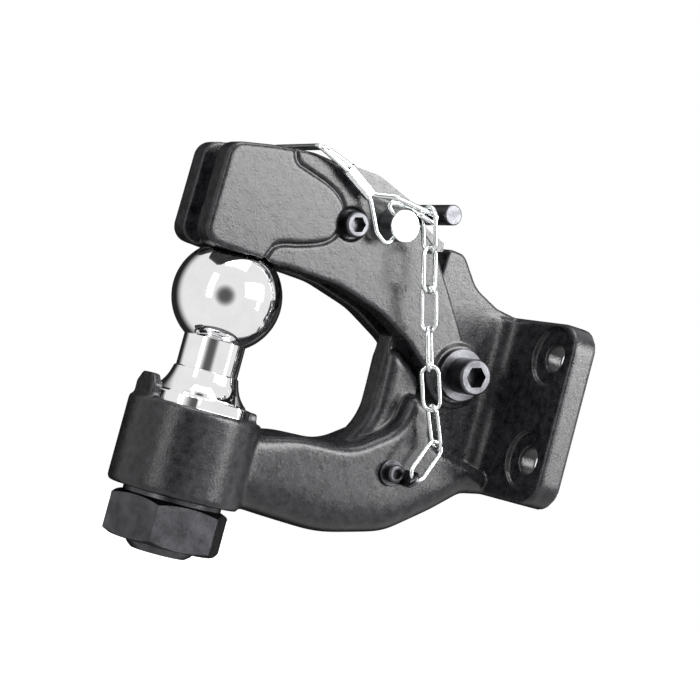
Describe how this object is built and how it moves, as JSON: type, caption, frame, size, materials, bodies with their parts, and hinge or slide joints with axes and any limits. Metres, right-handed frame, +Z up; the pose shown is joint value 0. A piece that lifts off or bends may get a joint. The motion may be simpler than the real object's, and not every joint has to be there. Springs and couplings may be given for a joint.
{
  "type": "trailer hitch with ball",
  "caption": "Pintle hook hitch with a tow ball on its lower arm, a bolt-on plate, a hinged latch, a spring lock, and a safety pin with a wire bail on a chain.",
  "frame": {"origin": "centre of the four-bolt pattern on the mounting face of the plate", "axes": "+X points out of the mounting face to the vehicle, +Z is up along the ball axis, -Y is the side with the chain"},
  "size_m": [0.1972, 0.12, 0.1986],
  "materials": {
    "black_paint": "semi-gloss black paint over a forging",
    "dark_steel": "blackened steel",
    "chrome": "polished chrome",
    "bright_zinc": "bright zinc plate",
    "spring_steel": "oiled spring steel",
    "bronze": "sintered bronze"
  },
  "bodies": {
    "hook": {"hook_casting": "black_paint", "tow_ball": "chrome", "ball_lock_washer": "dark_steel", "ball_nut": "dark_steel", "pivot_bolt": "dark_steel", "pivot_washer_near": "dark_steel", "pivot_washer_far": "dark_steel", "pivot_bush": "bronze", "pivot_nut": "dark_steel", "anchor_screw": "dark_steel", "anchor_tag": "dark_steel"},
    "latch": {"latch_casting": "black_paint", "lock_pivot_screw": "dark_steel", "lock_pivot_nut": "dark_steel", "lock_pivot_sleeve": "dark_steel", "lock_spring": "spring_steel"},
    "lock": {"lock_pawl": "black_paint", "lock_handle": "dark_steel"},
    "pin": {"safety_pin": "bright_zinc"},
    "bail": {"bail_wire": "bright_zinc", "bail_sleeve": "bright_zinc"},
    "link_1": {"chain_link_1": "bright_zinc"},
    "link_2": {"chain_link_2": "bright_zinc"},
    "link_3": {"chain_link_3": "bright_zinc"},
    "link_4": {"chain_link_4": "bright_zinc"},
    "link_5": {"chain_link_5": "bright_zinc"},
    "link_6": {"chain_link_6": "bright_zinc"},
    "link_7": {"chain_link_7": "bright_zinc"}
  },
  "joints": [
    {"name": "latch_open", "type": "hinge", "parent": "hook", "child": "latch", "pos_m": [-0.0453, 0, 0.0057], "axis": [0, 1, 0], "range_deg": [0, 50]},
    {"name": "lock_lift", "type": "hinge", "parent": "latch", "child": "lock", "pos_m": [-0.1225, 0, 0.0581], "axis": [0, -1, 0], "range_deg": [0, 35.1], "stiffness_Nm_per_rad": 0.88, "deforming": ["lock_spring"]},
    {"name": "pin_pull", "type": "slide", "parent": "latch", "child": "pin", "axis": [0, -1, 0], "range_m": [0, 0.05]},
    {"name": "bail_swing", "type": "hinge", "parent": "pin", "child": "bail", "pos_m": [-0.10403, -0.025, 0.05646], "axis": [-0.2756, 0, 0.9613], "range_deg": [0, 95.1], "deforming": ["bail_wire"]},
    {"name": "link_7_swing", "type": "hinge", "parent": "hook", "child": "link_7", "pos_m": [-0.06242, -0.031, -0.04796], "axis": [0.9023, -0.1742, -0.3942], "range_deg": [0, 17.06]},
    {"name": "link_6_swing", "type": "hinge", "parent": "link_7", "child": "link_6", "pos_m": [-0.05426, -0.031, -0.0314], "axis": [0.4718, 0.8525, 0.225], "range_deg": [0, 32.85]},
    {"name": "link_5_swing", "type": "hinge", "parent": "link_6", "child": "link_5", "pos_m": [-0.06235, -0.031, -0.01465], "axis": [-0.5848, 0.7798, -0.2233], "range_deg": [0, 2.09]},
    {"name": "link_4_swing", "type": "hinge", "parent": "link_5", "child": "link_4", "pos_m": [-0.06902, -0.031, 0.00271], "axis": [-0.8309, 0.4753, -0.2893], "range_deg": [0, 9.61]},
    {"name": "link_3_swing", "type": "hinge", "parent": "link_4", "child": "link_3", "pos_m": [-0.07516, -0.031, 0.02027], "axis": [-0.8353, 0.4818, -0.265], "range_deg": [0, 9.54]},
    {"name": "link_2_swing", "type": "hinge", "parent": "link_3", "child": "link_2", "pos_m": [-0.08082, -0.031, 0.03799], "axis": [-0.8563, 0.4544, -0.2455], "range_deg": [0, 2.08]},
    {"name": "link_1_swing", "type": "hinge", "parent": "link_2", "child": "link_1", "pos_m": [-0.08588, -0.031, 0.05589], "axis": [-0.8062, 0.5199, -0.2823], "range_deg": [0, 9.24]}
  ],
  "couplings": [
    {"joint": "lock_lift", "follows": "latch_open", "ratio": 0.7},
    {"joint": "bail_swing", "follows": "pin_pull", "rad_per_m": 33.161},
    {"joint": "link_7_swing", "follows": "pin_pull", "rad_per_m": 5.9202},
    {"joint": "link_6_swing", "follows": "latch_open", "ratio": 0.655},
    {"joint": "link_5_swing", "follows": "pin_pull", "rad_per_m": 0.6946},
    {"joint": "link_4_swing", "follows": "latch_open", "ratio": 0.1902},
    {"joint": "link_3_swing", "follows": "latch_open", "ratio": 0.1888},
    {"joint": "link_2_swing", "follows": "pin_pull", "rad_per_m": 0.6912},
    {"joint": "link_1_swing", "follows": "latch_open", "ratio": 0.1828}
  ]
}
